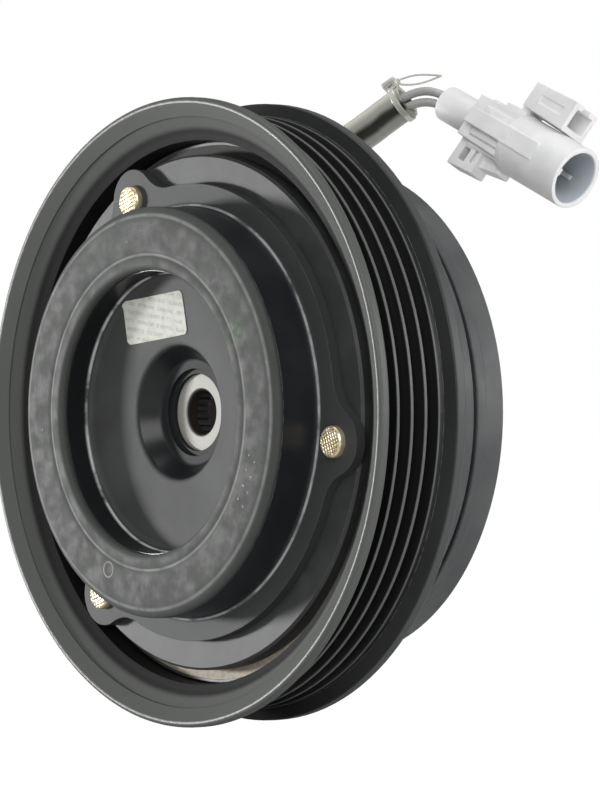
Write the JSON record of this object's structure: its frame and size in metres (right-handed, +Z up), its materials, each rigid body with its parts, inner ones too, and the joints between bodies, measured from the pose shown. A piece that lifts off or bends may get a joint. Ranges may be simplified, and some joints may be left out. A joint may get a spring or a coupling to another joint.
{
  "type": "electromagnetic clutch",
  "caption": "Compressor clutch: a grooved belt pulley on a ball bearing, a field coil with a short plugged lead, and a rubber-damped hub whose armature plate is pulled onto the rotor.",
  "frame": {"origin": "on the clutch axis, in the plane of the mounting plate's rear face, which seats on the compressor", "axes": "+Y along the clutch axis towards the compressor, so the hub faces -Y; +Z up, towards the side the lead leaves from; +X to the right seen from the hub"},
  "size_m": [0.1282, 0.0791, 0.1355],
  "materials": {
    "black_enamel": "gloss black enamel",
    "friction_steel": "ground, lightly rusted",
    "friction_lining": "dull moulded lining",
    "bearing_steel": "ground and polished",
    "spring_steel": "oiled spring steel",
    "plain_steel": "machined steel",
    "zinc_plate": "zinc plated, dull",
    "terminal_brass": "tinned brass",
    "copper": "enamelled copper wire",
    "damper_rubber": "matt moulded rubber",
    "seal_rubber": "moulded seal rubber",
    "black_plastic": "matt moulded plastic",
    "cage_plastic": "natural nylon",
    "resin": "cast resin",
    "connector_plastic": "pale grey moulded plastic",
    "sleeve_vinyl": "gloss vinyl",
    "wire_insulation": "extruded insulation",
    "nylon": "clear nylon",
    "label_paper": "coated paper"
  },
  "bodies": {
    "field": {"mounting_plate": "zinc_plate", "field_shell": "black_enamel", "locating_pin": "plain_steel", "coil_bobbin": "black_plastic", "coil_winding": "copper", "coil_potting": "resin", "bearing_inner_race": "bearing_steel", "lead_grommet": "black_plastic", "lead_sleeve": "sleeve_vinyl", "lead_wire_a": "wire_insulation", "lead_wire_b": "wire_insulation", "sleeve_tie": "nylon", "connector_housing": "connector_plastic", "connector_clip": "connector_plastic", "wire_seal": "seal_rubber", "connector_terminals": "terminal_brass"},
    "rotor": {"rotor": "black_enamel", "pulley_rim": "black_enamel", "friction_lining": "friction_lining", "bearing_outer_race": "bearing_steel", "bearing_seal_front": "seal_rubber", "bearing_seal_rear": "seal_rubber", "bearing_retaining_ring": "spring_steel"},
    "ball_set": {"bearing_balls": "bearing_steel", "ball_cage_front": "cage_plastic", "ball_cage_rear": "cage_plastic"},
    "hub": {"hub_boss": "plain_steel", "hub_plate": "black_enamel", "damper_rubber": "damper_rubber", "air_gap_shim": "spring_steel", "hub_label": "label_paper"},
    "armature": {"damper_case": "black_enamel", "armature_plate": "friction_steel", "armature_rivets": "plain_steel"}
  },
  "joints": [
    {"name": "rotor_spin", "type": "hinge", "parent": "field", "child": "rotor", "pos_m": [0, -0.0207, 0], "axis": [0, -1, 0], "continuous": true},
    {"name": "ball_set_spin", "type": "hinge", "parent": "field", "child": "ball_set", "pos_m": [0, -0.0207, 0], "axis": [0, -1, 0], "continuous": true},
    {"name": "hub_spin", "type": "hinge", "parent": "field", "child": "hub", "pos_m": [0, -0.0365, 0], "axis": [0, -1, 0], "continuous": true},
    {"name": "armature_pull", "type": "slide", "parent": "hub", "child": "armature", "axis": [0, 1, 0], "range_m": [0, 0.0005], "stiffness_N_per_m": 40000}
  ],
  "couplings": [
    {"joint": "ball_set_spin", "follows": "rotor_spin", "ratio": 0.5494}
  ]
}
